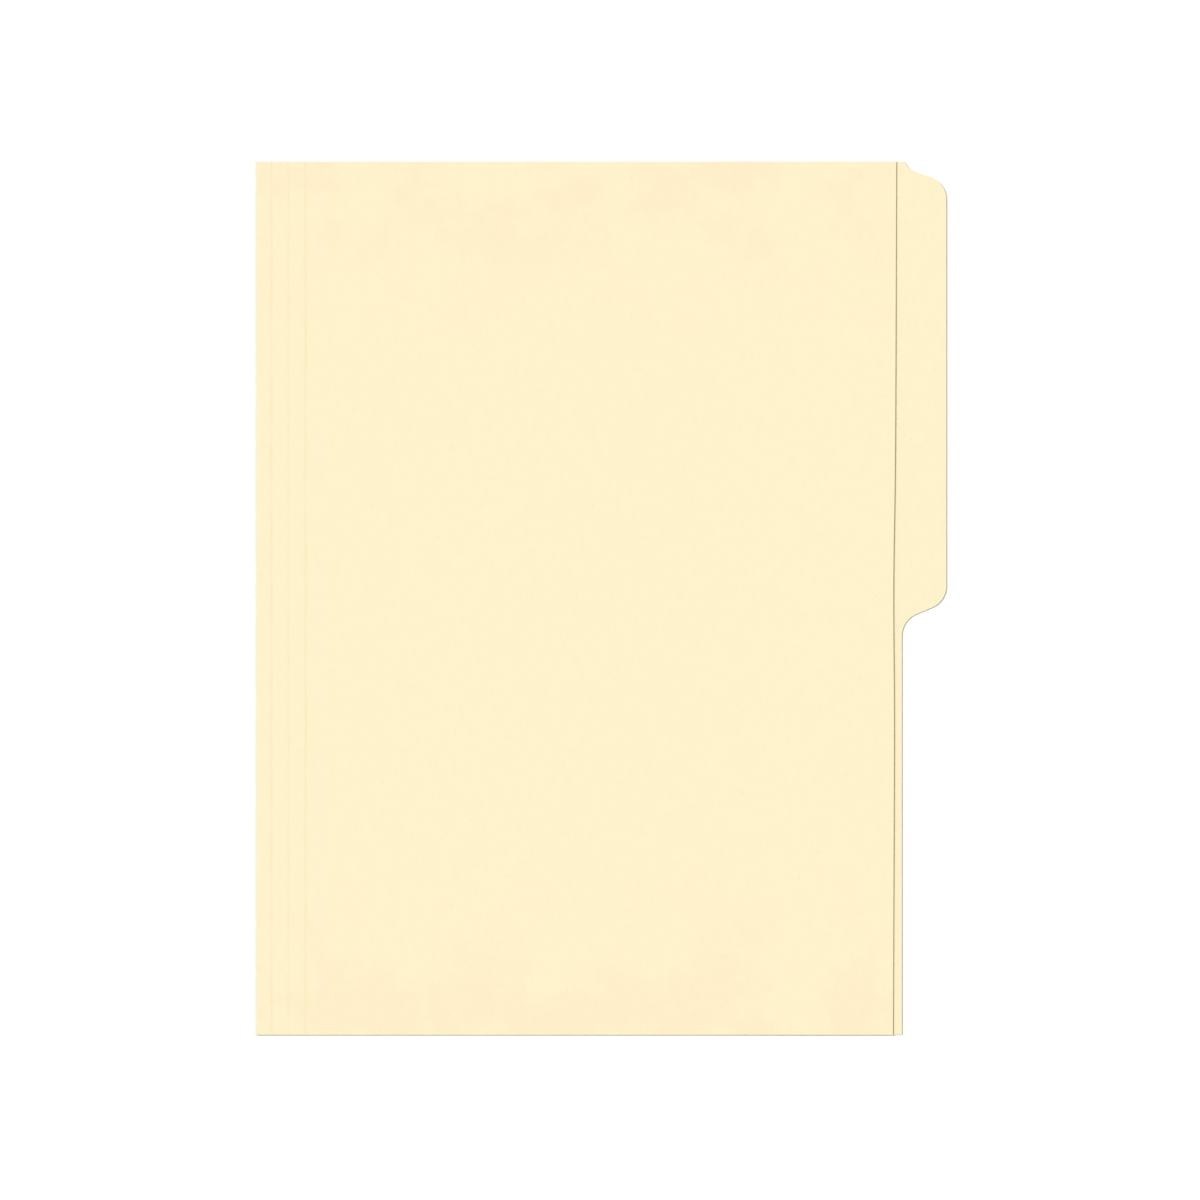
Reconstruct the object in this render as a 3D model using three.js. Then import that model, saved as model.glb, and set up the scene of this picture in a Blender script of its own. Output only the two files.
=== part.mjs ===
// A closed letter-size file folder: one die-cut sheet of cream board, scored and folded in two.
// Millimetres, +Z up. It lies on its back panel with the spine along Y and the tab towards +X.
// The origin is under the middle of its outline. The sheet is divided where it bends, so each
// panel, each strip between two scores and each crease is a piece of its own.

import * as THREE from "three";

// The board
const SHEET_THICKNESS = 0.28; // 11-point stock
const LAYER_GAP = 0.5; // air between the closed front and back

// The panels
const SPINE_LENGTH = 298.45;
const BACK_WIDTH = 221.05; // folded edge to the back panel's free edge
const FRONT_SETBACK_TOP = 1.95; // the front stops this far short of the back, at the tab's end
const FRONT_SETBACK_BOTTOM = 3.1; // and this far at the other end, because it is cut a little askew

// The tab on the back panel's free edge
const TAB_DEPTH = 15.2;
const TAB_STRAIGHT_LENGTH = 132.25;
const TAB_CORNER_RADIUS = 7.94;
const TAB_TOP_SLOPE = THREE.MathUtils.degToRad(18); // from X, on the shoulder at the sheet's end
const TAB_BOTTOM_SLOPE = THREE.MathUtils.degToRad(23); // from X, on the shoulder at mid length
const TAB_TOP_OVERRUN = 3.65; // the upper shoulder would end this far past the sheet's end

// The scores that let the spine widen into a gusset
const SCORE_COUNT = 3;
const FIRST_SCORE_FROM_FOLD = 5.6; // folded edge to the first score's middle
const SCORE_PITCH = 5.85;
const SCORE_WIDTH = 1.0;
const SCORE_DEPTH = 0.06;

// How finely round stretches are divided
const CORNER_SEGMENTS = 16;
const BEND_SEGMENTS = 16;
const GROOVE_SEGMENTS = 8;

// Places that follow from the sizes above
const SHEET_END_Y = SPINE_LENGTH / 2;
const TAB_EDGE_X = (BACK_WIDTH + TAB_DEPTH) / 2;
const BACK_EDGE_X = TAB_EDGE_X - TAB_DEPTH;
const FOLDED_EDGE_X = BACK_EDGE_X - BACK_WIDTH;
const BEND_INNER_RADIUS = LAYER_GAP / 2;
const BEND_OUTER_RADIUS = BEND_INNER_RADIUS + SHEET_THICKNESS;
const BEND_X = FOLDED_EDGE_X + BEND_OUTER_RADIUS; // the middle of the main fold's bend

const folder = new THREE.Group();
const frontLayer = new THREE.Group(); // everything that lies over the back panel
frontLayer.position.z = SHEET_THICKNESS + LAYER_GAP;
folder.add(frontLayer);

function addPiece(parent, name, geometry, x, z, colour) {
  const board = new THREE.MeshStandardMaterial({ color: colour, roughness: 0.85, metalness: 0 });
  const piece = new THREE.Mesh(geometry, board);
  piece.name = name;
  piece.position.set(x, 0, z);
  parent.add(piece);
}

const FLAT_COLOUR = 0xfef2cc;
const CREASED_COLOUR = 0xfbeec4; // pressed board looks a little yellower

// A flat piece: an outline seen from above, one sheet thick.
function flatSheet(outline) {
  return new THREE.ExtrudeGeometry(outline, {
    depth: SHEET_THICKNESS,
    bevelEnabled: false,
    curveSegments: CORNER_SEGMENTS,
  });
}

// A long piece: a section across the sheet, X and Z, run from one end of the spine to the other.
function alongSpine(section, segments) {
  const geometry = new THREE.ExtrudeGeometry(section, {
    depth: SPINE_LENGTH,
    bevelEnabled: false,
    curveSegments: segments,
  });
  geometry.rotateX(Math.PI / 2);
  geometry.translate(0, SHEET_END_Y, 0);
  return geometry;
}

// One shoulder of the tab is a curve out of the tab's edge, a slope, and a curve into the panel's.
function shoulder(slope) {
  const reach = 1 - Math.sin(slope); // how far a curve of radius 1 goes across X
  const radius = Math.min(TAB_CORNER_RADIUS, TAB_DEPTH / (2 * reach));
  const slopeAcross = TAB_DEPTH - 2 * radius * reach;
  const length = 2 * radius * Math.cos(slope) + slopeAcross * Math.tan(slope);
  return { radius, length };
}

// The back panel from above, its X counted from the middle of the main fold's bend.
function backOutline() {
  const top = shoulder(TAB_TOP_SLOPE);
  const bottom = shoulder(TAB_BOTTOM_SLOPE);
  const panelEdge = BACK_EDGE_X - BEND_X;
  const tabEdge = TAB_EDGE_X - BEND_X;
  const topEnd = SHEET_END_Y + TAB_TOP_OVERRUN;
  const straightTop = topEnd - top.length;
  const straightBottom = straightTop - TAB_STRAIGHT_LENGTH;
  const bottomEnd = straightBottom - bottom.length;
  const cutAngle = Math.PI + Math.asin(TAB_TOP_OVERRUN / top.radius);

  const outline = new THREE.Shape();
  outline.moveTo(0, -SHEET_END_Y);
  outline.lineTo(panelEdge, -SHEET_END_Y);
  outline.absarc(
    panelEdge + bottom.radius, bottomEnd, bottom.radius,
    Math.PI, Math.PI / 2 + TAB_BOTTOM_SLOPE, true,
  );
  outline.absarc(
    tabEdge - bottom.radius, straightBottom, bottom.radius,
    TAB_BOTTOM_SLOPE - Math.PI / 2, 0, false,
  );
  outline.absarc(
    tabEdge - top.radius, straightTop, top.radius,
    0, Math.PI / 2 - TAB_TOP_SLOPE, false,
  );
  outline.absarc(
    panelEdge + top.radius, topEnd, top.radius,
    (3 * Math.PI) / 2 - TAB_TOP_SLOPE, cutAngle, true,
  );
  outline.lineTo(0, SHEET_END_Y);
  return outline;
}

// The main fold's section: half a turn of the sheet round the gap between the two layers.
function bendSection() {
  const section = new THREE.Shape();
  section.absarc(0, 0, BEND_OUTER_RADIUS, Math.PI / 2, (3 * Math.PI) / 2, false);
  section.absarc(0, 0, BEND_INNER_RADIUS, (3 * Math.PI) / 2, Math.PI / 2, true);
  return section;
}

// A pressed score's section: a shallow groove outside and the bead that it raises inside.
function scoreSection() {
  const side = SCORE_WIDTH / 2;
  const pull = 2 * SCORE_DEPTH; // a curve's middle lies half way to its control point
  const section = new THREE.Shape();
  section.moveTo(-side, 0);
  section.quadraticCurveTo(0, -pull, side, 0);
  section.lineTo(side, SHEET_THICKNESS);
  section.quadraticCurveTo(0, SHEET_THICKNESS - pull, -side, SHEET_THICKNESS);
  return section;
}

// A strip of the front layer, its X counted from its own edge nearest the fold.
function stripOutline(width) {
  const outline = new THREE.Shape();
  outline.moveTo(0, -SHEET_END_Y);
  outline.lineTo(width, -SHEET_END_Y);
  outline.lineTo(width, SHEET_END_Y);
  outline.lineTo(0, SHEET_END_Y);
  return outline;
}

// The front panel from above, with its free edge a little askew.
function frontOutline(startX) {
  const edge = BACK_EDGE_X - startX;
  const outline = new THREE.Shape();
  outline.moveTo(0, -SHEET_END_Y);
  outline.lineTo(edge - FRONT_SETBACK_BOTTOM, -SHEET_END_Y);
  outline.lineTo(edge - FRONT_SETBACK_TOP, SHEET_END_Y);
  outline.lineTo(0, SHEET_END_Y);
  return outline;
}

function addScore(name, middleX) {
  addPiece(frontLayer, name, alongSpine(scoreSection(), GROOVE_SEGMENTS), middleX, 0, CREASED_COLOUR);
}

addPiece(folder, "back_panel", flatSheet(backOutline()), BEND_X, 0, FLAT_COLOUR);
addPiece(
  folder, "spine_fold", alongSpine(bendSection(), BEND_SEGMENTS),
  BEND_X, BEND_OUTER_RADIUS, CREASED_COLOUR,
);

// The front layer runs on from the bend: a crease, then strips and scores by turns, then the panel.
addScore("spine_score", BEND_X + SCORE_WIDTH / 2);
let stripX = BEND_X + SCORE_WIDTH;
for (let i = 0; i < SCORE_COUNT; i += 1) {
  const scoreX = FOLDED_EDGE_X + FIRST_SCORE_FROM_FOLD + i * SCORE_PITCH;
  const stripWidth = scoreX - SCORE_WIDTH / 2 - stripX;
  addPiece(
    frontLayer, `gusset_strip_${i + 1}`, flatSheet(stripOutline(stripWidth)),
    stripX, 0, FLAT_COLOUR,
  );
  addScore(`score_line_${i + 1}`, scoreX);
  stripX = scoreX + SCORE_WIDTH / 2;
}
addPiece(frontLayer, "front_panel", flatSheet(frontOutline(stripX)), stripX, 0, FLAT_COLOUR);

export default folder;
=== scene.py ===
"""A closed manila file folder: one die-cut sheet of tag board, scored, folded in two and laid flat.

Each region of the board between two creases is a piece, and so is each crease. The panels are meshed
here with their cut edges eased and the slight cockle that board takes from damp air. The creases and
the strips between them follow one rule each, so Geometry Nodes make them.
"""

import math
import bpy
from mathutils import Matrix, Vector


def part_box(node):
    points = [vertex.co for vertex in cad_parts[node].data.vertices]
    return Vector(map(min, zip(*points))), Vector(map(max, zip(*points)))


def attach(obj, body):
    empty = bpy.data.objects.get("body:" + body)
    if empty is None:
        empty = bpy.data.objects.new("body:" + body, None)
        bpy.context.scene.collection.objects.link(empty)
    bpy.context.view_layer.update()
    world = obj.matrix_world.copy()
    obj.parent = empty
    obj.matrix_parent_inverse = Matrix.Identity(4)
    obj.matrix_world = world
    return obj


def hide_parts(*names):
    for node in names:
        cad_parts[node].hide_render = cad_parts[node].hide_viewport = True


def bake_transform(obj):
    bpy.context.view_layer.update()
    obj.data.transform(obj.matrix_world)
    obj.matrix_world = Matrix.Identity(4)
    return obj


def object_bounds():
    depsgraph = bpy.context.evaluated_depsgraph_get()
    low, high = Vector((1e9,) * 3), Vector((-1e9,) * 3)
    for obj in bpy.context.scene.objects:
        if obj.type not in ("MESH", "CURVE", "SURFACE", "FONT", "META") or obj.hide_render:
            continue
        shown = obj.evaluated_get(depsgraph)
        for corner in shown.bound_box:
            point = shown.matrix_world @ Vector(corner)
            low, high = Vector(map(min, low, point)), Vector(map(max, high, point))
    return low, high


bl_info = {
    "name": "Manila file folder",
    "version": (1, 0, 0),
    "blender": (4, 5, 0),
    "location": "3D View > Sidebar > Folder",
    "description": "Builds a scored and folded manila file folder on its packed frame",
    "category": "Object",
}

import bpy
from bpy.props import FloatProperty, FloatVectorProperty, IntProperty, PointerProperty
from mathutils import Vector, noise

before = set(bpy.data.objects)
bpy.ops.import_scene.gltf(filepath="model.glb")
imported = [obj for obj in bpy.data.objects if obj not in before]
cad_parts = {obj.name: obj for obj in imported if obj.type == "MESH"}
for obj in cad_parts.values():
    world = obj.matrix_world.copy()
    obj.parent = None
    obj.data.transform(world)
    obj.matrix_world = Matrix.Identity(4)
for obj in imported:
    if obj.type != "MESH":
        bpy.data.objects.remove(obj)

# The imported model's box, and the pieces that the rest is placed by
CAD_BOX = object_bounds()
BACK_LOW, BACK_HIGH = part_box("back_panel")
FOLD_LOW, FOLD_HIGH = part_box("spine_fold")
FRONT_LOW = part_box("front_panel")[0]

SHEET = BACK_HIGH.z - BACK_LOW.z
LENGTH = BACK_HIGH.y - BACK_LOW.y
FOLD_OUTER_RADIUS = (FOLD_HIGH.z - FOLD_LOW.z) / 2
FOLD_CENTRE = Vector((FOLD_HIGH.x, 0.0, FOLD_LOW.z + FOLD_OUTER_RADIUS))
MM = 0.001

# Where the Mix node has its two numbers and its two colours
NUMBER_A, NUMBER_B, COLOUR_A, COLOUR_B = 2, 3, 6, 7

# Noise lies round 0.5, and nearly all of it between these
NOISE_LOW, NOISE_HIGH = 0.3, 0.7

# Z is drawn out by this in the patterns, so that each face of the thin sheet gets its own
FACE_SPREAD = 40

# Edges that turn more than this are drawn sharp, and points closer than this are one
SHARP_ANGLE = math.radians(35)
MERGE_REACH = 0.01 * MM

# Each surface that is uneven in its own way starts its noise at its own place
BACK_SEED, FRONT_SEED, FOLD_SEED, FIRST_SCORE_SEED = 3.1, 8.7, 2.0, 10

# The floor is just clear of the folder, so that the two never share a surface
FLOOR_GAP = 0.02 * MM


def linear(hex_code):
    """An sRGB colour such as F2E6C2 as linear red, green, blue and alpha."""
    shares = [int(hex_code[i : i + 2], 16) / 255 for i in (0, 2, 4)]
    return (*[s / 12.92 if s <= 0.04045 else ((s + 0.055) / 1.055) ** 2.4 for s in shares], 1.0)


def colour(name, description, hex_code):
    """A colour property whose default is an sRGB hex value."""
    return FloatVectorProperty(
        name=name, description=description, size=4, min=0, max=1, subtype="COLOR", default=linear(hex_code)
    )


def length(name, description, millimetres):
    """A length property whose default is given in millimetres."""
    return FloatProperty(
        name=name, description=description, unit="LENGTH", precision=6, default=millimetres * MM
    )


class FolderBoardSettings(bpy.types.PropertyGroup):
    """Finish of the manila board, with painted shade along its creases and at its cut edges"""

    board: colour("Board", "Flat, uncoated board", "F2E6C2")
    blush: colour("Blush", "Faint pinkish clouds where the dye took unevenly", "F2E2BF")
    # Partly painted shade: the colour is the yellower board that a score presses, plus the shade of its
    # groove painted in.
    crease_tint_and_shade: colour("Crease tint and shade", "Board pressed by a score, a little yellower", "EDE1B4")
    # Painted shade: this colour darkens and greys the middle of the main fold's outer face.
    shaded: colour("Fold shade", "Board stretched over the main fold, a little greyer", "D0CDBD")
    # Partly painted shade: the cut edges are darker than the board, partly for the cut fibres' own colour and
    # partly to deepen the lines along the edges.
    cut: colour("Cut edge", "Fibres at a die-cut edge", "D2C6A2")
    cloud_size: length("Cloud size", "Spacing of the pinkish clouds", 26)
    clouds_start: length("Clouds start", "Distance from the middle of the sheet where they gather", 84)
    clouds_seed: FloatProperty(
        name="Clouds seed", description="Which of many sheets this is, by its clouds", default=26.5
    )
    formation_size: length("Formation size", "Spacing of the clumps of pulp in the sheet", 3.6)
    fibre_width: length("Fibre width", "Spacing across the grain, drawn coarse enough to show", 0.45)
    fibre_length: length("Fibre length", "Spacing along the grain, which runs with the fold", 5)
    fleck_width: length("Fleck width", "Spacing across the grain of stray fibres", 1.1)
    fleck_length: length("Fleck length", "Spacing along the grain of stray fibres", 2.2)
    press_width: length("Press width", "Spacing across a crease of harder and softer presses", 2)
    press_length: length("Press length", "Spacing along a crease of harder and softer presses", 9)
    tooth_size: length("Tooth size", "Spacing of the felt marks on the surface", 0.7)
    tooth_height: length("Tooth height", "Depth of the felt marks", 0.012)


class FolderShapeSettings(bpy.types.PropertyGroup):
    """Shape of the board between its cut edges and creases"""

    edge_radius: length("Edge radius", "How far the die-cut edges are eased", 0.06)
    mesh_step: length("Mesh step", "Spacing of the panels' mesh", 5)
    cockle_height: length("Cockle height", "How far the panels lift out of flat", 0.12)
    cockle_size: length("Cockle size", "Spacing of the lifts", 75)
    flat_beside_fold: length("Flat beside fold", "Reach of the creases' stiffness into a panel", 40)
    back_spring: length("Back spring", "How far the back's free edge springs off the table", 0.29)
    front_spring: length("Front spring", "How far the front's free edge springs up", 0.2)
    free_edge_hollow: length("Free edge hollow", "How far the front's cut dips at mid length", 0.47)
    free_edge_hollow_reach: length("Hollow reach", "Half the length of that dip", 30)
    free_edge_hollow_place: length("Hollow place", "Where along the spine it is deepest", 3)
    groove_depth: length("Groove depth", "Depth of a pressed score", 0.012)
    fold_thinning: length("Fold thinning", "How much thinner the board is drawn round the fold", 0.025)
    fold_unevenness: length("Fold unevenness", "How far the main fold's bend wanders", 0.03)
    unevenness_size: length("Unevenness size", "Spacing of the wandering along a crease", 14)
    steps_along: IntProperty(name="Steps along", description="Mesh rows along a crease", default=64)
    steps_across: IntProperty(name="Steps across", description="Mesh columns across a crease", default=12)


class FolderStageSettings(bpy.types.PropertyGroup):
    """Floor, light and camera"""

    floor: colour("Floor", "Pale sweep under the folder", "F9F9F9")
    floor_size: length("Floor size", "Side of the floor", 12000)
    key_elevation: FloatProperty(
        name="Key elevation", description="Height of the main light", subtype="ANGLE",
        default=math.radians(56),
    )
    key_azimuth: FloatProperty(
        name="Key azimuth", description="Direction of the main light, from X", subtype="ANGLE",
        default=math.radians(152),
    )
    key_spread: FloatProperty(
        name="Key spread", description="Angular size of the main light", subtype="ANGLE",
        default=math.radians(14),
    )
    key_strength: FloatProperty(
        name="Key strength", description="Main light, W per square metre", default=2.47
    )
    fill_strength: FloatProperty(name="Fill strength", description="Even light from all round", default=0.47)
    lens: FloatProperty(name="Lens", description="Focal length", subtype="DISTANCE_CAMERA", default=200)
    view_width: length("View width", "Width of the picture at the folder", 410.1)
    view_x: length("View X", "Middle of the picture", -0.3)
    view_y: length("View Y", "Middle of the picture", -0.6)


def add_node(tree, kind, settings, inputs):
    """Adds a node, applies its settings, and gives each input a value or a link."""
    node = tree.nodes.new(kind)
    for name, value in settings.items():
        setattr(node, name, value)
    for name, value in inputs.items():
        for source in value if isinstance(value, list) else [value]:
            if isinstance(source, bpy.types.NodeSocket):
                tree.links.new(source, node.inputs[name])
            else:
                node.inputs[name].default_value = source
    return node


def board_material(name, look, marked=None, patches=(0.15, 0.7)):
    """Manila tag board: dyed pulp pressed to a dense, uncoated sheet.

    The eye sees a matt cream that is almost even. It has clumps of pulp a few millimetres apart, fibres
    lying along the grain and a few stray ones that show. Its outside has faint pinkish clouds from the
    dye towards the ends. Its felt marks catch raking light. The marked colour is drawn along a crease in
    patches: patches says how the noise there becomes the marked colour. At a score it is partly the
    yellower board that the rule pressed, harder in some places than in others, and partly painted shade
    of the groove; round the main fold it is painted shade that darkens and greys the bend. The cut edges
    are drawn darker, partly their fibres' own colour and partly painted shade.
    """
    material = bpy.data.materials.new(name)
    material.use_nodes = True
    tree = material.node_tree
    tree.nodes.clear()
    places = add_node(tree, "ShaderNodeTexCoord", {}, {}).outputs["Object"]
    faces = add_node(
        tree, "ShaderNodeMapping", {},
        {"Vector": places, "Location": (0, 0, look.clouds_seed), "Scale": (1, 1, FACE_SPREAD)},
    ).outputs["Vector"]
    clouds = add_node(
        tree, "ShaderNodeTexNoise", {},
        {"Vector": faces, "Scale": 1 / look.cloud_size, "Detail": 5.0, "Roughness": 0.6},
    ).outputs["Fac"]
    formation = add_node(
        tree, "ShaderNodeTexNoise", {},
        {"Vector": faces, "Scale": 1 / look.formation_size, "Detail": 3.0, "Roughness": 0.55},
    ).outputs["Fac"]
    grain_scale = (1 / look.fibre_width, 1 / look.fibre_length, 1 / look.fibre_width)
    grain = add_node(
        tree, "ShaderNodeMapping", {}, {"Vector": places, "Scale": grain_scale}
    ).outputs["Vector"]
    fibres = add_node(
        tree, "ShaderNodeTexNoise", {}, {"Vector": grain, "Scale": 1.0, "Detail": 2.0, "Distortion": 0.4}
    ).outputs["Fac"]
    fleck_scale = (1 / look.fleck_width, 1 / look.fleck_length, 1 / look.fleck_width)
    scatter = add_node(
        tree, "ShaderNodeMapping", {}, {"Vector": places, "Scale": fleck_scale}
    ).outputs["Vector"]
    stray = add_node(
        tree, "ShaderNodeTexNoise", {}, {"Vector": scatter, "Scale": 1.0, "Detail": 1.0, "Distortion": 0.3}
    ).outputs["Fac"]
    tooth = add_node(
        tree, "ShaderNodeTexNoise", {},
        {"Vector": places, "Scale": 1 / look.tooth_size, "Detail": 3.0, "Roughness": 0.6},
    ).outputs["Fac"]

    # The noise at a cloud's rim and in its core, and what is left of a cloud at the sheet's middle
    cloud_rim, cloud_core, cloud_at_middle = 0.44, 0.62, 0.05
    along = add_node(
        tree, "ShaderNodeMath", {"operation": "ABSOLUTE"},
        {0: add_node(tree, "ShaderNodeSeparateXYZ", {}, {"Vector": places}).outputs["Y"]},
    ).outputs[0]
    near_end = add_node(
        tree, "ShaderNodeMapRange", {"interpolation_type": "SMOOTHSTEP"},
        {"Value": along, "From Min": look.clouds_start, "From Max": LENGTH / 2, "To Min": cloud_at_middle},
    ).outputs["Result"]
    cloud_share = add_node(
        tree, "ShaderNodeMapRange", {"interpolation_type": "SMOOTHSTEP"},
        {"Value": clouds, "From Min": cloud_rim, "From Max": cloud_core, "To Max": near_end},
    ).outputs["Result"]
    outside = add_node(tree, "ShaderNodeAttribute", {"attribute_name": "outside"}, {}).outputs["Fac"]
    blushed = add_node(
        tree, "ShaderNodeMath", {"operation": "MULTIPLY"}, {0: cloud_share, 1: outside}
    ).outputs[0]
    face = add_node(
        tree, "ShaderNodeMix", {"data_type": "RGBA"},
        {"Factor": blushed, COLOUR_A: look.board, COLOUR_B: look.blush},
    ).outputs[2]
    # Painted shade: the marked colour is laid along the creases. At a score it is partly the yellower pressed
    # board and partly its groove's shade; round the main fold it is shade alone.
    if marked:
        press_scale = (1 / look.press_width, 1 / look.press_length, 1 / look.press_width)
        press = add_node(
            tree, "ShaderNodeMapping", {}, {"Vector": places, "Scale": press_scale}
        ).outputs["Vector"]
        presses = add_node(
            tree, "ShaderNodeTexNoise", {}, {"Vector": press, "Scale": 1.0, "Detail": 3.0}
        ).outputs["Fac"]
        pressed = add_node(tree, "ShaderNodeAttribute", {"attribute_name": "pressed"}, {}).outputs["Fac"]
        mark = add_node(
            tree, "ShaderNodeMapRange", {"interpolation_type": "SMOOTHSTEP"},
            {"Value": presses, "From Min": patches[0], "From Max": patches[1], "To Max": pressed},
        ).outputs["Result"]
        face = add_node(
            tree, "ShaderNodeMix", {"data_type": "RGBA"}, {"Factor": mark, COLOUR_A: face, COLOUR_B: marked}
        ).outputs[2]

    # Pulp and fibres change how light the board is by about a two-hundredth each way. A stray fibre
    # shows only where its noise is far from the middle, as a dark fleck or as a pale one.
    dimmest, brightest = 0.994, 1.005
    shares = [
        add_node(
            tree, "ShaderNodeMapRange", {},
            {"Value": pattern, "From Min": low, "From Max": high, "To Min": at_low, "To Max": at_high},
        ).outputs["Result"]
        for pattern, low, high, at_low, at_high in (
            (formation, NOISE_LOW, NOISE_HIGH, dimmest, brightest),
            (fibres, NOISE_LOW, NOISE_HIGH, dimmest, brightest),
            (stray, 0.66, 0.74, 1.0, 0.975),
            (stray, 0.33, 0.25, 1.0, 1.015),
        )
    ]
    lightness = 1.0
    for share in shares:
        lightness = add_node(
            tree, "ShaderNodeMath", {"operation": "MULTIPLY"}, {0: lightness, 1: share}
        ).outputs[0]
    face = add_node(
        tree, "ShaderNodeVectorMath", {"operation": "SCALE"}, {0: face, "Scale": lightness}
    ).outputs[0]
    # Partly painted shade: the cut edges take a darker colour, partly the cut fibres' own and partly shade
    # that deepens the lines along the edges.
    rim = add_node(tree, "ShaderNodeAttribute", {"attribute_name": "rim"}, {}).outputs["Fac"]
    base = add_node(
        tree, "ShaderNodeMix", {"data_type": "RGBA"}, {"Factor": rim, COLOUR_A: face, COLOUR_B: look.cut}
    ).outputs[2]

    smoothest, roughest = 0.82, 0.92
    roughness = add_node(
        tree, "ShaderNodeMapRange", {},
        {
            "Value": formation, "From Min": NOISE_LOW, "From Max": NOISE_HIGH,
            "To Min": smoothest, "To Max": roughest,
        },
    ).outputs["Result"]
    # The fibres stand out of the surface as well as the felt marks
    strands = shares[1]
    relief = add_node(
        tree, "ShaderNodeMath", {"operation": "ADD"}, {0: tooth, 1: strands}
    ).outputs[0]
    normal = add_node(
        tree, "ShaderNodeBump", {}, {"Strength": 0.6, "Distance": look.tooth_height, "Height": relief}
    ).outputs["Normal"]
    shader = add_node(
        tree, "ShaderNodeBsdfPrincipled", {},
        {"Base Color": base, "Roughness": roughness, "Normal": normal, "IOR": 1.5, "Specular IOR Level": 0.3},
    )
    add_node(tree, "ShaderNodeOutputMaterial", {}, {"Surface": shader.outputs["BSDF"]})
    return material


def flat_board(context):
    """Board as the mill made it."""
    look = context.scene.folder_board
    return bpy.data.materials.get("manila_tag_board") or board_material("manila_tag_board", look)


def scored_board(context):
    """Board pressed by a scoring rule, which packs its fibres and turns it yellower, with painted shade of
    the score's groove in the same colour.
    """
    look = context.scene.folder_board
    return bpy.data.materials.get("scored_tag_board") or board_material(
        "scored_tag_board", look, look.crease_tint_and_shade
    )


def folded_board(context):
    """Board round the main fold, with painted shade that darkens and greys the middle of the bend's outer
    face.
    """
    look = context.scene.folder_board
    return bpy.data.materials.get("folded_tag_board") or board_material(
        "folded_tag_board", look, look.shaded, patches=(0.1, 0.5)
    )


def add_piece(name, mesh, material, nodes):
    """Puts a finished mesh into the scene in place of its CAD nodes."""
    mesh.polygons.foreach_set("use_smooth", [True] * len(mesh.polygons))
    mesh.set_sharp_from_angle(angle=SHARP_ANGLE)
    mesh.materials.clear()
    mesh.materials.append(material)
    piece = bpy.data.objects.new(name, mesh)
    bpy.context.scene.collection.objects.link(piece)
    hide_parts(*nodes)
    return piece


def cut_edge(node):
    """The cut edge of a panel away from the fold, as points X, Y from one end of the spine to the other.

    It lies right of the folder's middle, and the panel's seam left of it.
    """
    corners = [v.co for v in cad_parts[node].data.vertices]
    found = {(round(c.y, 6), round(c.x, 6)) for c in corners if c.x > 0}
    return [Vector((x, y)) for y, x in sorted(found)]


def along_edge(edge, y):
    """Where an edge is at Y, and the share of its facing that is along X."""
    for start, end in zip(edge, edge[1:]):
        if y <= end.y:
            break
    run = end - start
    share = min(max((y - start.y) / run.y, 0.0), 1.0)
    return start.x + share * run.x, run.y / run.length


def eased(distance, radius):
    """How far a face lies below its level at a distance from a cut edge."""
    inside = max(0.0, 1 - distance / radius)
    return radius * (1 - math.sqrt(1 - inside * inside))


def spaced(low, high, step):
    """Even places from low to high, about a step apart."""
    count = max(1, round((high - low) / step))
    return [low + (high - low) * i / count for i in range(count + 1)]


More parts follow.
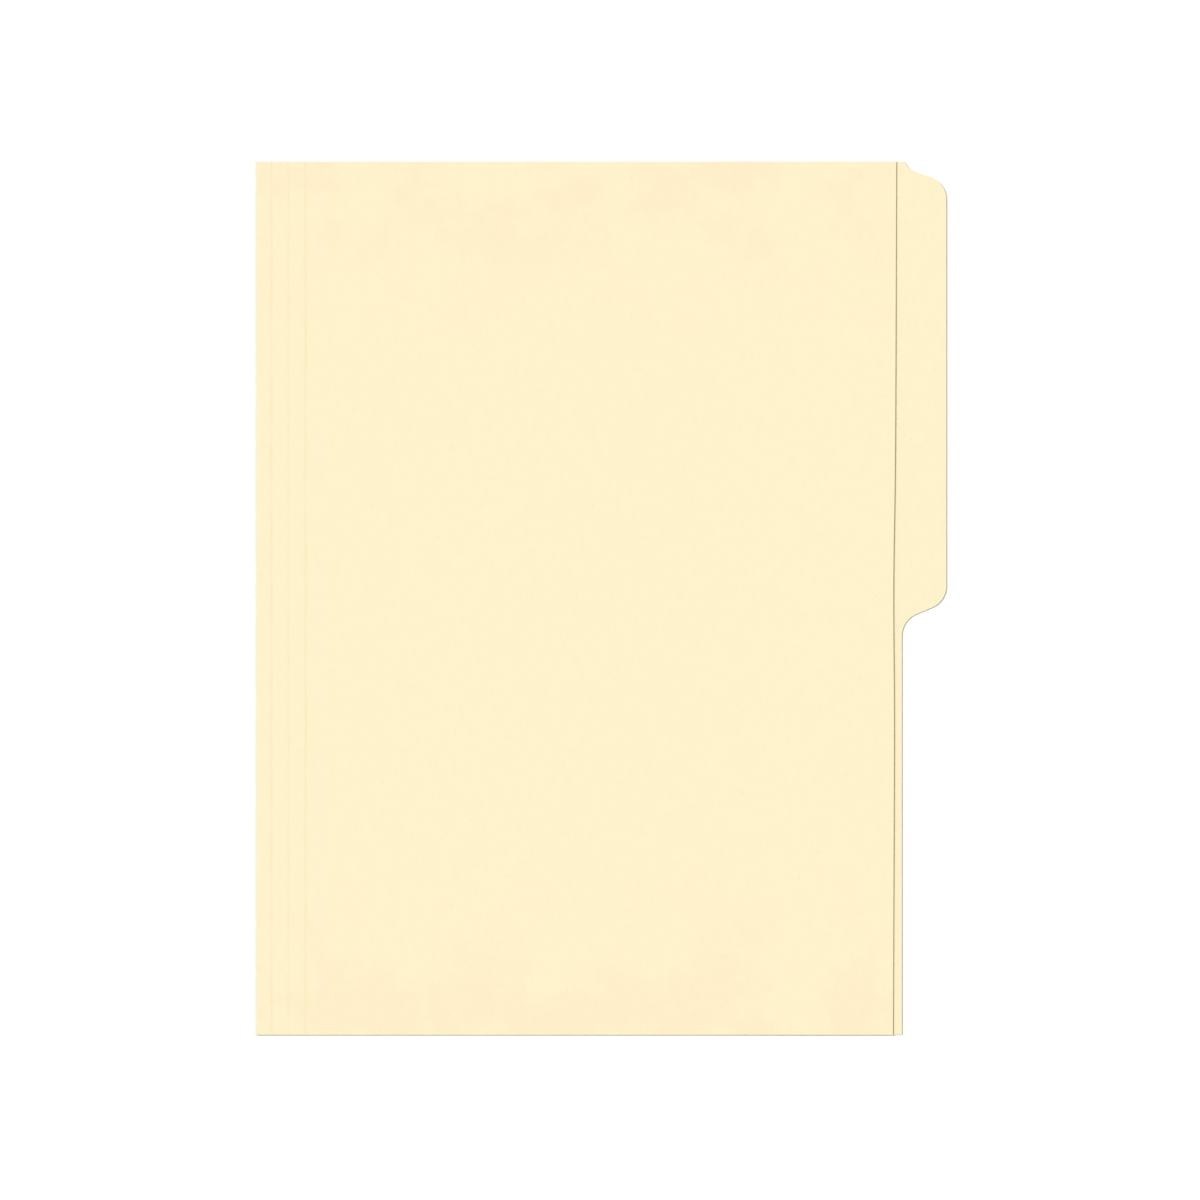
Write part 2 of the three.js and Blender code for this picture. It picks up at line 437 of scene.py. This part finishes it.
def panel_mesh(name, shape, seam_x, edge, underside, lift, outside_up):
    """A panel of board from a seam at X to a cut edge: two faces joined by a rim all round.

    lift gives how far the board lies above its level at X and Y. outside_up says whether its upper face
    is on the outside of the folder.
    """
    radius = shape.edge_radius
    # Rows closer than this become one, and a point this near a cut is on it
    closest_rows, at_cut = 0.2 * radius, 0.1 * radius
    # The last lines of the mesh before a cut, by their distance from it
    insets = [2 * radius, radius, 0.3 * radius, 0.0]
    ends = [edge[0].y, edge[-1].y]
    rows = spaced(ends[0] + insets[0], ends[1] - insets[0], shape.mesh_step)
    rows += [p.y for p in edge[1:-1]]
    for inset in insets[1:]:
        rows += [ends[0] + inset, ends[1] - inset]
    rows = sorted(rows)
    rows = [y for i, y in enumerate(rows) if i == 0 or y - rows[i - 1] > closest_rows]

    inner_columns = len(spaced(seam_x, edge[0].x, shape.mesh_step))
    columns = inner_columns + len(insets) - 1
    tops, bottoms, rims = [], [], []
    for y in rows:
        end_x, facing = along_edge(edge, y)
        inner_end = end_x - insets[0] / facing
        across = [seam_x + (inner_end - seam_x) * i / (inner_columns - 1) for i in range(inner_columns)]
        away = [insets[0]] * inner_columns + insets[1:]
        across += [end_x - inset / facing for inset in insets[1:]]
        from_end = min(y - ends[0], ends[1] - y)
        for x, from_cut in zip(across, away):
            distance = max(0.0, min(from_end, from_cut))
            drop = eased(distance, radius)
            level = underside + lift(x, y)
            tops.append((x, y, level + SHEET - drop))
            bottoms.append((x, y, level + drop))
            # Points on a cut take the darker cut edge colour, which is partly painted shade.
            rims.append(1.0 if distance < at_cut else 0.0)

    faces = []
    below = len(tops)
    for r in range(len(rows) - 1):
        for c in range(columns - 1):
            a, b = r * columns + c, r * columns + c + 1
            d, e = a + columns, b + columns
            faces.append((a, b, e, d))
            faces.append((below + a, below + d, below + e, below + b))
    first, last = range(columns), range((len(rows) - 1) * columns, len(rows) * columns)
    seam, cut = range(0, below, columns), range(columns - 1, below, columns)
    for line, turn in ((first, False), (last, True), (seam, True), (cut, False)):
        line = list(line)
        for a, b in zip(line, line[1:]):
            around = (a, below + a, below + b, b)
            faces.append(around[::-1] if turn else around)

    mesh = bpy.data.meshes.new(name)
    mesh.from_pydata(tops + bottoms, [], faces)
    upper = [1.0 if outside_up else 0.0] * below
    lower = [1.0 - share for share in upper]
    for label, shares in (("rim", rims + rims), ("outside", upper + lower)):
        mesh.attributes.new(label, "FLOAT", "POINT").data.foreach_set("value", shares)
    return mesh


def sprung(rise, seam_x, x):
    """How far board that was folded flat has sprung back at X: most at its free edge."""
    share = (x - seam_x) / (CAD_BOX[1].x - seam_x)
    return rise * share * share


def cockle(shape, seed, seam_x, x, y):
    """The slow waves of board in damp air, from -1 to 1, dying out beside the stiff creases."""
    free = min(1.0, abs(x - seam_x) / shape.flat_beside_fold)
    size = shape.cockle_size
    return free * free * (3 - 2 * free) * noise.noise(Vector((x / size, y / size, seed)))


SLAB_SOCKETS = (
    ("Width", "NodeSocketFloat"),
    ("Length", "NodeSocketFloat"),
    ("Thickness", "NodeSocketFloat"),
    ("Ease", "NodeSocketFloat"),
    ("Steps Across", "NodeSocketInt"),
    ("Steps Along", "NodeSocketInt"),
)


def new_tree(name, sockets):
    """An empty geometry tree with named inputs, its input node and their sockets."""
    tree = bpy.data.node_groups.new(name, "GeometryNodeTree")
    for label, kind in sockets:
        tree.interface.new_socket(name=label, in_out="INPUT", socket_type=kind)
    tree.interface.new_socket(name="Geometry", in_out="OUTPUT", socket_type="NodeSocketGeometry")
    given = add_node(tree, "NodeGroupInput", {}, {})
    return tree, given.outputs


def slab_tree():
    """A length of board, X from 0 to its width and Z from 0 to its thickness, eased at its cut ends.

    Its last two rows at each end lie close to the cut, and the very last is drawn in from both faces.
    """
    tree, given = new_tree("board_slab", SLAB_SOCKETS)
    across = add_node(
        tree, "ShaderNodeMath", {"operation": "ADD"}, {0: given["Steps Across"], 1: 1.0}
    ).outputs[0]
    along = add_node(
        tree, "ShaderNodeMath", {"operation": "ADD"}, {0: given["Steps Along"], 1: 1.0}
    ).outputs[0]
    grid = add_node(
        tree, "GeometryNodeMeshGrid", {},
        {"Size X": given["Width"], "Size Y": 2.0, "Vertices X": across, "Vertices Y": along},
    ).outputs["Mesh"]
    raised = add_node(
        tree, "GeometryNodeExtrudeMesh", {"mode": "FACES"},
        {"Mesh": grid, "Offset Scale": given["Thickness"], "Individual": False},
    ).outputs["Mesh"]
    underneath = add_node(tree, "GeometryNodeFlipFaces", {}, {"Mesh": grid}).outputs["Mesh"]
    both = add_node(tree, "GeometryNodeJoinGeometry", {}, {"Geometry": [raised, underneath]}).outputs[0]
    slab = add_node(
        tree, "GeometryNodeMergeByDistance", {}, {"Geometry": both, "Distance": MERGE_REACH}
    ).outputs["Geometry"]

    # The grid runs from -1 to 1 along Y, so the size of Y is the share of the way to an end
    place = add_node(
        tree, "ShaderNodeSeparateXYZ", {},
        {"Vector": add_node(tree, "GeometryNodeInputPosition", {}, {}).outputs[0]},
    ).outputs
    share = add_node(tree, "ShaderNodeMath", {"operation": "ABSOLUTE"}, {0: place["Y"]}).outputs[0]
    side = add_node(tree, "ShaderNodeMath", {"operation": "SIGN"}, {0: place["Y"]}).outputs[0]
    last_row = add_node(
        tree, "ShaderNodeMath", {"operation": "DIVIDE"}, {0: 2.0, 1: given["Steps Along"]}
    ).outputs[0]
    last_start = add_node(
        tree, "ShaderNodeMath", {"operation": "SUBTRACT"}, {0: 1.0, 1: last_row}
    ).outputs[0]
    near_start = add_node(
        tree, "ShaderNodeMath", {"operation": "SUBTRACT"}, {0: last_start, 1: last_row}
    ).outputs[0]
    near_length = add_node(
        tree, "ShaderNodeMath", {"operation": "MULTIPLY"}, {0: given["Ease"], 1: 2.0}
    ).outputs[0]
    half = add_node(
        tree, "ShaderNodeMath", {"operation": "MULTIPLY"}, {0: given["Length"], 1: 0.5}
    ).outputs[0]
    even_length = add_node(
        tree, "ShaderNodeMath", {"operation": "SUBTRACT"}, {0: half, 1: near_length}
    ).outputs[0]
    even = add_node(
        tree, "ShaderNodeMapRange", {},
        {"Value": share, "From Min": 0.0, "From Max": near_start, "To Min": 0.0, "To Max": even_length},
    ).outputs["Result"]
    near = add_node(
        tree, "ShaderNodeMapRange", {},
        {"Value": share, "From Min": near_start, "From Max": 1.0, "To Min": 0.0, "To Max": near_length},
    ).outputs["Result"]
    reach = add_node(tree, "ShaderNodeMath", {"operation": "ADD"}, {0: even, 1: near}).outputs[0]
    y = add_node(tree, "ShaderNodeMath", {"operation": "MULTIPLY"}, {0: reach, 1: side}).outputs[0]
    x = add_node(
        tree, "ShaderNodeMath", {"operation": "MULTIPLY_ADD"}, {0: given["Width"], 1: 0.5, 2: place["X"]}
    ).outputs[0]
    at_end = add_node(
        tree, "ShaderNodeMapRange", {}, {"Value": share, "From Min": last_start, "From Max": 1.0}
    ).outputs["Result"]
    drawn_top = add_node(
        tree, "ShaderNodeMath", {"operation": "SUBTRACT"}, {0: given["Thickness"], 1: given["Ease"]}
    ).outputs[0]
    drawn = add_node(
        tree, "ShaderNodeMapRange", {},
        {
            "Value": place["Z"], "From Min": 0.0, "From Max": given["Thickness"],
            "To Min": given["Ease"], "To Max": drawn_top,
        },
    ).outputs["Result"]
    z = add_node(
        tree, "ShaderNodeMix", {"data_type": "FLOAT"},
        {"Factor": at_end, NUMBER_A: place["Z"], NUMBER_B: drawn},
    ).outputs[0]
    # The marks are read off the even grid, so they are stored before the slab takes its size
    outwards = add_node(
        tree, "ShaderNodeMath", {"operation": "DIVIDE"}, {0: place["Z"], 1: given["Thickness"]}
    ).outputs[0]
    for label, share_of in (("outside", outwards), ("rim", at_end)):
        slab = add_node(
            tree, "GeometryNodeStoreNamedAttribute", {"data_type": "FLOAT", "domain": "POINT"},
            {"Geometry": slab, "Name": label, "Value": share_of},
        ).outputs["Geometry"]
    position = add_node(tree, "ShaderNodeCombineXYZ", {}, {0: x, 1: y, 2: z}).outputs[0]
    placed = add_node(
        tree, "GeometryNodeSetPosition", {}, {"Geometry": slab, "Position": position}
    ).outputs["Geometry"]
    add_node(tree, "NodeGroupOutput", {}, {"Geometry": placed})
    return tree


def slab_node(tree, slab, given, width):
    """The slab inside another tree, its inputs passed on."""
    inputs = {label: given[label] for label, _ in SLAB_SOCKETS if label != "Width"}
    return add_node(
        tree, "GeometryNodeGroup", {"node_tree": slab}, {"Width": width, **inputs}
    ).outputs["Geometry"]


def wander(tree, place_y, given):
    """Slow noise along the spine about 0.5, different for each seed."""
    size = add_node(
        tree, "ShaderNodeMath", {"operation": "DIVIDE"}, {0: place_y, 1: given["Wander Size"]}
    ).outputs[0]
    spot = add_node(tree, "ShaderNodeCombineXYZ", {}, {0: given["Seed"], 1: size, 2: 0.0}).outputs[0]
    return add_node(
        tree, "ShaderNodeTexNoise", {}, {"Vector": spot, "Scale": 1.0, "Detail": 2.0}
    ).outputs["Fac"]


def finish_tree(tree, geometry, given):
    """Ends a tree in plain geometry with its material."""
    real = add_node(tree, "GeometryNodeRealizeInstances", {}, {"Geometry": geometry}).outputs["Geometry"]
    coated = add_node(
        tree, "GeometryNodeSetMaterial", {}, {"Geometry": real, "Material": given["Board"]}
    ).outputs["Geometry"]
    add_node(tree, "NodeGroupOutput", {}, {"Geometry": coated})
    return tree


def pressed_tree(slab):
    """A strip of the front layer. Where it was pressed it is a score: a groove above, a bead below.

    Its press is 0 for flat board and 1 for the deepest score.
    """
    sockets = SLAB_SOCKETS + (
        ("Left", "NodeSocketFloat"),
        ("Underside", "NodeSocketFloat"),
        ("Groove Depth", "NodeSocketFloat"),
        ("Press", "NodeSocketFloat"),
        ("Wander Size", "NodeSocketFloat"),
        ("Seed", "NodeSocketFloat"),
        ("Board", "NodeSocketMaterial"),
    )
    tree, given = new_tree("pressed_strip", sockets)
    geometry = slab_node(tree, slab, given, given["Width"])
    place = add_node(
        tree, "ShaderNodeSeparateXYZ", {},
        {"Vector": add_node(tree, "GeometryNodeInputPosition", {}, {}).outputs[0]},
    ).outputs
    turn = add_node(
        tree, "ShaderNodeMapRange", {},
        {
            "Value": place["X"], "From Min": 0.0, "From Max": given["Width"],
            "To Min": 0.0, "To Max": 2 * math.pi,
        },
    ).outputs["Result"]
    swing = add_node(tree, "ShaderNodeMath", {"operation": "COSINE"}, {0: turn}).outputs[0]
    across = add_node(
        tree, "ShaderNodeMath", {"operation": "MULTIPLY_ADD"}, {0: swing, 1: -0.5, 2: 0.5}
    ).outputs[0]
    pressed = add_node(
        tree, "ShaderNodeMath", {"operation": "MULTIPLY"}, {0: across, 1: given["Press"]}
    ).outputs[0]
    # The board is marked nearly as wide as the rule that pressed it, and deepest in the middle: the marked
    # colour is partly the yellower pressed board and partly painted shade of the groove
    widening = 0.2
    wide = add_node(
        tree, "ShaderNodeMath", {"operation": "POWER"}, {0: across, 1: widening}
    ).outputs[0]
    mark = add_node(
        tree, "ShaderNodeMath", {"operation": "MULTIPLY"}, {0: wide, 1: given["Press"]}
    ).outputs[0]
    marked = add_node(
        tree, "GeometryNodeStoreNamedAttribute", {"data_type": "FLOAT", "domain": "POINT"},
        {"Geometry": geometry, "Name": "pressed", "Value": mark},
    ).outputs["Geometry"]
    unevenness = add_node(
        tree, "ShaderNodeMath", {"operation": "ADD"}, {0: wander(tree, place["Y"], given), 1: 0.5}
    ).outputs[0]
    depth = add_node(
        tree, "ShaderNodeMath", {"operation": "MULTIPLY"}, {0: unevenness, 1: given["Groove Depth"]}
    ).outputs[0]
    sunk = add_node(tree, "ShaderNodeMath", {"operation": "MULTIPLY"}, {0: pressed, 1: depth}).outputs[0]
    z = add_node(
        tree, "ShaderNodeMath", {"operation": "SUBTRACT"}, {0: given["Underside"], 1: sunk}
    ).outputs[0]
    offset = add_node(tree, "ShaderNodeCombineXYZ", {}, {0: given["Left"], 1: 0.0, 2: z}).outputs[0]
    moved = add_node(
        tree, "GeometryNodeSetPosition", {}, {"Geometry": marked, "Offset": offset}
    ).outputs["Geometry"]
    return finish_tree(tree, moved, given)


def bent_tree(slab):
    """The main fold: half a turn of board, from the back's edge round to the front's.

    The slab is as wide as the turn in radians, so X is the angle turned and Z the way through the board.
    """
    sockets = SLAB_SOCKETS[1:] + (
        ("Inner Radius", "NodeSocketFloat"),
        ("Centre", "NodeSocketVector"),
        ("Unevenness", "NodeSocketFloat"),
        ("Wander Size", "NodeSocketFloat"),
        ("Seed", "NodeSocketFloat"),
        ("Board", "NodeSocketMaterial"),
    )
    tree, given = new_tree("bent_strip", sockets)
    geometry = slab_node(tree, slab, given, math.pi)
    place = add_node(
        tree, "ShaderNodeSeparateXYZ", {},
        {"Vector": add_node(tree, "GeometryNodeInputPosition", {}, {}).outputs[0]},
    ).outputs
    angle = add_node(
        tree, "ShaderNodeMath", {"operation": "SUBTRACT"}, {0: 1.5 * math.pi, 1: place["X"]}
    ).outputs[0]
    radius = add_node(
        tree, "ShaderNodeMath", {"operation": "ADD"}, {0: given["Inner Radius"], 1: place["Z"]}
    ).outputs[0]
    outwards = add_node(
        tree, "ShaderNodeMath", {"operation": "DIVIDE"}, {0: place["Z"], 1: given["Thickness"]}
    ).outputs[0]
    middle = add_node(tree, "ShaderNodeMath", {"operation": "SINE"}, {0: place["X"]}).outputs[0]
    outer_middle_share = add_node(
        tree, "ShaderNodeMath", {"operation": "MULTIPLY"}, {0: middle, 1: outwards}
    ).outputs[0]
    # The bend's outer face wanders inwards only, most at the middle of its turn
    slack = add_node(
        tree, "ShaderNodeMath", {"operation": "MULTIPLY"}, {0: wander(tree, place["Y"], given), 1: outer_middle_share}
    ).outputs[0]
    pull = add_node(
        tree, "ShaderNodeMath", {"operation": "MULTIPLY"}, {0: slack, 1: given["Unevenness"]}
    ).outputs[0]
    drawn = add_node(tree, "ShaderNodeMath", {"operation": "SUBTRACT"}, {0: radius, 1: pull}).outputs[0]
    cosine = add_node(tree, "ShaderNodeMath", {"operation": "COSINE"}, {0: angle}).outputs[0]
    sine = add_node(tree, "ShaderNodeMath", {"operation": "SINE"}, {0: angle}).outputs[0]
    x = add_node(tree, "ShaderNodeMath", {"operation": "MULTIPLY"}, {0: drawn, 1: cosine}).outputs[0]
    z = add_node(tree, "ShaderNodeMath", {"operation": "MULTIPLY"}, {0: drawn, 1: sine}).outputs[0]
    around = add_node(tree, "ShaderNodeCombineXYZ", {}, {0: x, 1: place["Y"], 2: z}).outputs[0]
    # Painted shade: the middle of the outer face's turn is stored as the place for the fold's darker, greyer
    # colour.
    marked = add_node(
        tree, "GeometryNodeStoreNamedAttribute", {"data_type": "FLOAT", "domain": "POINT"},
        {"Geometry": geometry, "Name": "pressed", "Value": outer_middle_share},
    ).outputs["Geometry"]
    moved = add_node(
        tree, "GeometryNodeSetPosition", {},
        {"Geometry": marked, "Position": around, "Offset": given["Centre"]},
    ).outputs["Geometry"]
    return finish_tree(tree, moved, given)


def tree_named(name):
    """A geometry tree by name, built the first time that it is asked for."""
    if name not in bpy.data.node_groups:
        slab = bpy.data.node_groups.get("board_slab") or slab_tree()
        {"pressed_strip": pressed_tree, "bent_strip": bent_tree}[name](slab)
    return bpy.data.node_groups[name]


def run_tree(tree, values):
    """The plain mesh that a tree makes from these inputs."""
    carrier = bpy.data.objects.new("carrier", bpy.data.meshes.new("carrier"))
    bpy.context.scene.collection.objects.link(carrier)
    modifier = carrier.modifiers.new("nodes", "NODES")
    modifier.node_group = tree
    for socket in tree.interface.items_tree:
        if socket.in_out == "INPUT":
            modifier[socket.identifier] = values[socket.name]
    made = carrier.evaluated_get(bpy.context.evaluated_depsgraph_get())
    mesh = bpy.data.meshes.new_from_object(made)
    bpy.data.objects.remove(carrier)
    if not mesh.polygons:
        raise RuntimeError(f"{tree.name} made no faces")
    return mesh


def pressed_strip(context, node, steps_across, press, seed, material):
    """The mesh of one strip or score of the front layer, where its CAD node is."""
    shape = context.scene.folder_shape
    low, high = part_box(node)
    values = {
        "Width": high.x - low.x,
        "Length": LENGTH,
        "Thickness": SHEET,
        "Ease": shape.edge_radius,
        "Steps Across": steps_across,
        "Steps Along": shape.steps_along,
        "Left": low.x,
        "Underside": FRONT_LOW.z,
        "Groove Depth": shape.groove_depth,
        "Press": press,
        "Wander Size": shape.unevenness_size,
        "Seed": float(seed),
        "Board": material,
    }
    return run_tree(tree_named("pressed_strip"), values)


class FOLDER_OT_back_panel(bpy.types.Operator):
    """Make the back panel, with the filing tab on its cut edge"""

    bl_idname = "folder.back_panel"
    bl_label = "Back panel and tab"

    def execute(self, context):
        shape = context.scene.folder_shape
        seam = BACK_LOW.x

        def lift(x, y):
            # It lies on the table, so it can only rise
            waves = 0.5 * shape.cockle_height * abs(cockle(shape, BACK_SEED, seam, x, y))
            return waves + sprung(shape.back_spring, seam, x)

        edge = cut_edge("back_panel")
        mesh = panel_mesh("back_sheet", shape, seam, edge, BACK_LOW.z, lift, outside_up=False)
        piece = add_piece("back_sheet", mesh, flat_board(context), ["back_panel"])
        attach(piece, "back")
        return {"FINISHED"}


class FOLDER_OT_front_panel(bpy.types.Operator):
    """Make the front panel, whose cut edge is a little askew and dips at mid length"""

    bl_idname = "folder.front_panel"
    bl_label = "Front panel"

    def execute(self, context):
        shape = context.scene.folder_shape
        seam = FRONT_LOW.x
        straight = cut_edge("front_panel")
        edge = []
        for y in spaced(straight[0].y, straight[-1].y, shape.mesh_step):
            x = along_edge(straight, y)[0]
            reach = (y - shape.free_edge_hollow_place) / shape.free_edge_hollow_reach
            edge.append(Vector((x - shape.free_edge_hollow * math.exp(-reach * reach), y)))

        def lift(x, y):
            waves = shape.cockle_height * cockle(shape, FRONT_SEED, seam, x, y)
            return waves + sprung(shape.front_spring, seam, x)

        mesh = panel_mesh("front_sheet", shape, seam, edge, FRONT_LOW.z, lift, outside_up=True)
        piece = add_piece("front_sheet", mesh, flat_board(context), ["front_panel"])
        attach(piece, "front")
        return {"FINISHED"}


class FOLDER_OT_main_fold(bpy.types.Operator):
    """Make the main fold, the half turn of board that joins the back to the front"""

    bl_idname = "folder.main_fold"
    bl_label = "Main fold"

    def execute(self, context):
        shape = context.scene.folder_shape
        thickness = SHEET - shape.fold_thinning
        values = {
            "Length": LENGTH,
            "Thickness": thickness,
            "Ease": shape.edge_radius,
            "Steps Across": 2 * shape.steps_across,
            "Steps Along": shape.steps_along,
            "Inner Radius": FOLD_OUTER_RADIUS - thickness,
            "Centre": FOLD_CENTRE,
            "Unevenness": shape.fold_unevenness,
            "Wander Size": shape.unevenness_size,
            "Seed": FOLD_SEED,
            "Board": folded_board(context),
        }
        mesh = run_tree(tree_named("bent_strip"), values)
        piece = add_piece("fold_bend", mesh, folded_board(context), ["spine_fold"])
        # The outer part of each seam keeps to what it meets, and in the open folder the bend, which
        # is a little thinner, stays inside the flat board on either side
        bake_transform(piece)
        return {"FINISHED"}


class FOLDER_OT_scores(bpy.types.Operator):
    """Make the pressed creases: one beside the main fold and three that let the spine widen"""

    bl_idname = "folder.scores"
    bl_label = "Scores"

    def execute(self, context):
        shape = context.scene.folder_shape
        # How hard each was pressed, which sets both its groove and its painted crease shade: folding flattens
        # the one beside the fold, and the middle one is faint
        presses = {"spine_score": 0.2, "score_line_1": 0.9, "score_line_2": 0.78, "score_line_3": 1.0}
        for i, (node, press) in enumerate(presses.items()):
            seed = FIRST_SCORE_SEED + i
            mesh = pressed_strip(context, node, shape.steps_across, press, seed, scored_board(context))
            name = node.replace("score", "groove")
            piece = add_piece(name, mesh, scored_board(context), [node])
            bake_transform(piece)
        return {"FINISHED"}


class FOLDER_OT_gusset_strips(bpy.types.Operator):
    """Make the flat strips between the creases"""

    bl_idname = "folder.gusset_strips"
    bl_label = "Gusset strips"

    def execute(self, context):
        shape = context.scene.folder_shape
        for i in (1, 2, 3):
            node = f"gusset_strip_{i}"
            mesh = pressed_strip(context, node, shape.steps_across // 2, 0.0, i, flat_board(context))
            piece = add_piece(f"strip_sheet_{i}", mesh, flat_board(context), [node])
            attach(piece, f"strip_{i}")
        return {"FINISHED"}


class FOLDER_OT_stage(bpy.types.Operator):
    """Make the floor, the soft light and a camera that looks straight down"""

    bl_idname = "folder.stage"
    bl_label = "Floor, light and camera"

    def execute(self, context):
        scene, stage = context.scene, context.scene.folder_stage
        scene.view_settings.view_transform = "Standard"
        half = stage.floor_size / 2
        below = CAD_BOX[0].z - FLOOR_GAP
        corners = [(x * half, y * half, below) for x, y in ((-1, -1), (1, -1), (1, 1), (-1, 1))]
        mesh = bpy.data.meshes.new("floor")
        mesh.from_pydata(corners, [], [(0, 1, 2, 3)])
        material = bpy.data.materials.new("matt_white_card")
        material.use_nodes = True
        shader = material.node_tree.nodes["Principled BSDF"]
        shader.inputs["Base Color"].default_value = stage.floor
        shader.inputs["Roughness"].default_value = 0.95
        shader.inputs["Specular IOR Level"].default_value = 0.1
        mesh.materials.append(material)
        floor = bpy.data.objects.new("floor", mesh)
        scene.collection.objects.link(floor)

        world = bpy.data.worlds.new("studio")
        scene.world = world
        world.use_nodes = True
        tree = world.node_tree
        tree.nodes.clear()
        seen = add_node(tree, "ShaderNodeLightPath", {}, {}).outputs["Is Camera Ray"]
        strength = add_node(
            tree, "ShaderNodeMapRange", {}, {"Value": seen, "To Min": stage.fill_strength, "To Max": 1.0}
        ).outputs["Result"]
        sky = add_node(tree, "ShaderNodeBackground", {}, {"Color": (1, 1, 1, 1), "Strength": strength})
        add_node(tree, "ShaderNodeOutputWorld", {}, {"Surface": sky.outputs["Background"]})

        sun = bpy.data.lights.new("key", "SUN")
        sun.energy = stage.key_strength
        sun.angle = stage.key_spread
        key = bpy.data.objects.new("key", sun)
        scene.collection.objects.link(key)
        level = math.cos(stage.key_elevation)
        towards = Vector((
            level * math.cos(stage.key_azimuth),
            level * math.sin(stage.key_azimuth),
            math.sin(stage.key_elevation),
        ))
        key.location = towards
        key.rotation_euler = towards.to_track_quat("Z", "Y").to_euler()

        camera_data = bpy.data.cameras.new("camera")
        camera_data.lens = stage.lens
        distance = stage.view_width * camera_data.lens / camera_data.sensor_width
        camera_data.clip_end = 10 * distance
        camera = bpy.data.objects.new("camera", camera_data)
        camera.location = (stage.view_x, stage.view_y, CAD_BOX[1].z + distance)
        scene.collection.objects.link(camera)
        scene.camera = camera
        return {"FINISHED"}


class FOLDER_PT_sidebar(bpy.types.Panel):
    """Lists the folder's pieces"""

    bl_idname = "FOLDER_PT_sidebar"
    bl_label = "File folder"
    bl_space_type = "VIEW_3D"
    bl_region_type = "UI"
    bl_category = "Folder"

    def draw(self, context):
        for operator in OPERATORS:
            self.layout.operator(operator.bl_idname)
        for settings in (context.scene.folder_shape, context.scene.folder_board, context.scene.folder_stage):
            box = self.layout.box()
            for name in settings.__annotations__:
                box.prop(settings, name)


SETTINGS = (FolderBoardSettings, FolderShapeSettings, FolderStageSettings)
OPERATORS = (
    FOLDER_OT_stage,
    FOLDER_OT_back_panel,
    FOLDER_OT_main_fold,
    FOLDER_OT_scores,
    FOLDER_OT_gusset_strips,
    FOLDER_OT_front_panel,
)
CLASSES = (*SETTINGS, *OPERATORS, FOLDER_PT_sidebar)


def register():
    for cls in CLASSES:
        bpy.utils.register_class(cls)
    bpy.types.Scene.folder_board = PointerProperty(type=FolderBoardSettings)
    bpy.types.Scene.folder_shape = PointerProperty(type=FolderShapeSettings)
    bpy.types.Scene.folder_stage = PointerProperty(type=FolderStageSettings)


def unregister():
    del bpy.types.Scene.folder_stage
    del bpy.types.Scene.folder_shape
    del bpy.types.Scene.folder_board
    for cls in reversed(CLASSES):
        bpy.utils.unregister_class(cls)


def main():
    """Builds the folder and its stage."""
    register()
    bpy.ops.folder.stage()
    bpy.ops.folder.back_panel()
    bpy.ops.folder.main_fold()
    bpy.ops.folder.scores()
    bpy.ops.folder.gusset_strips()
    bpy.ops.folder.front_panel()


if __name__ == "__main__":
    main()
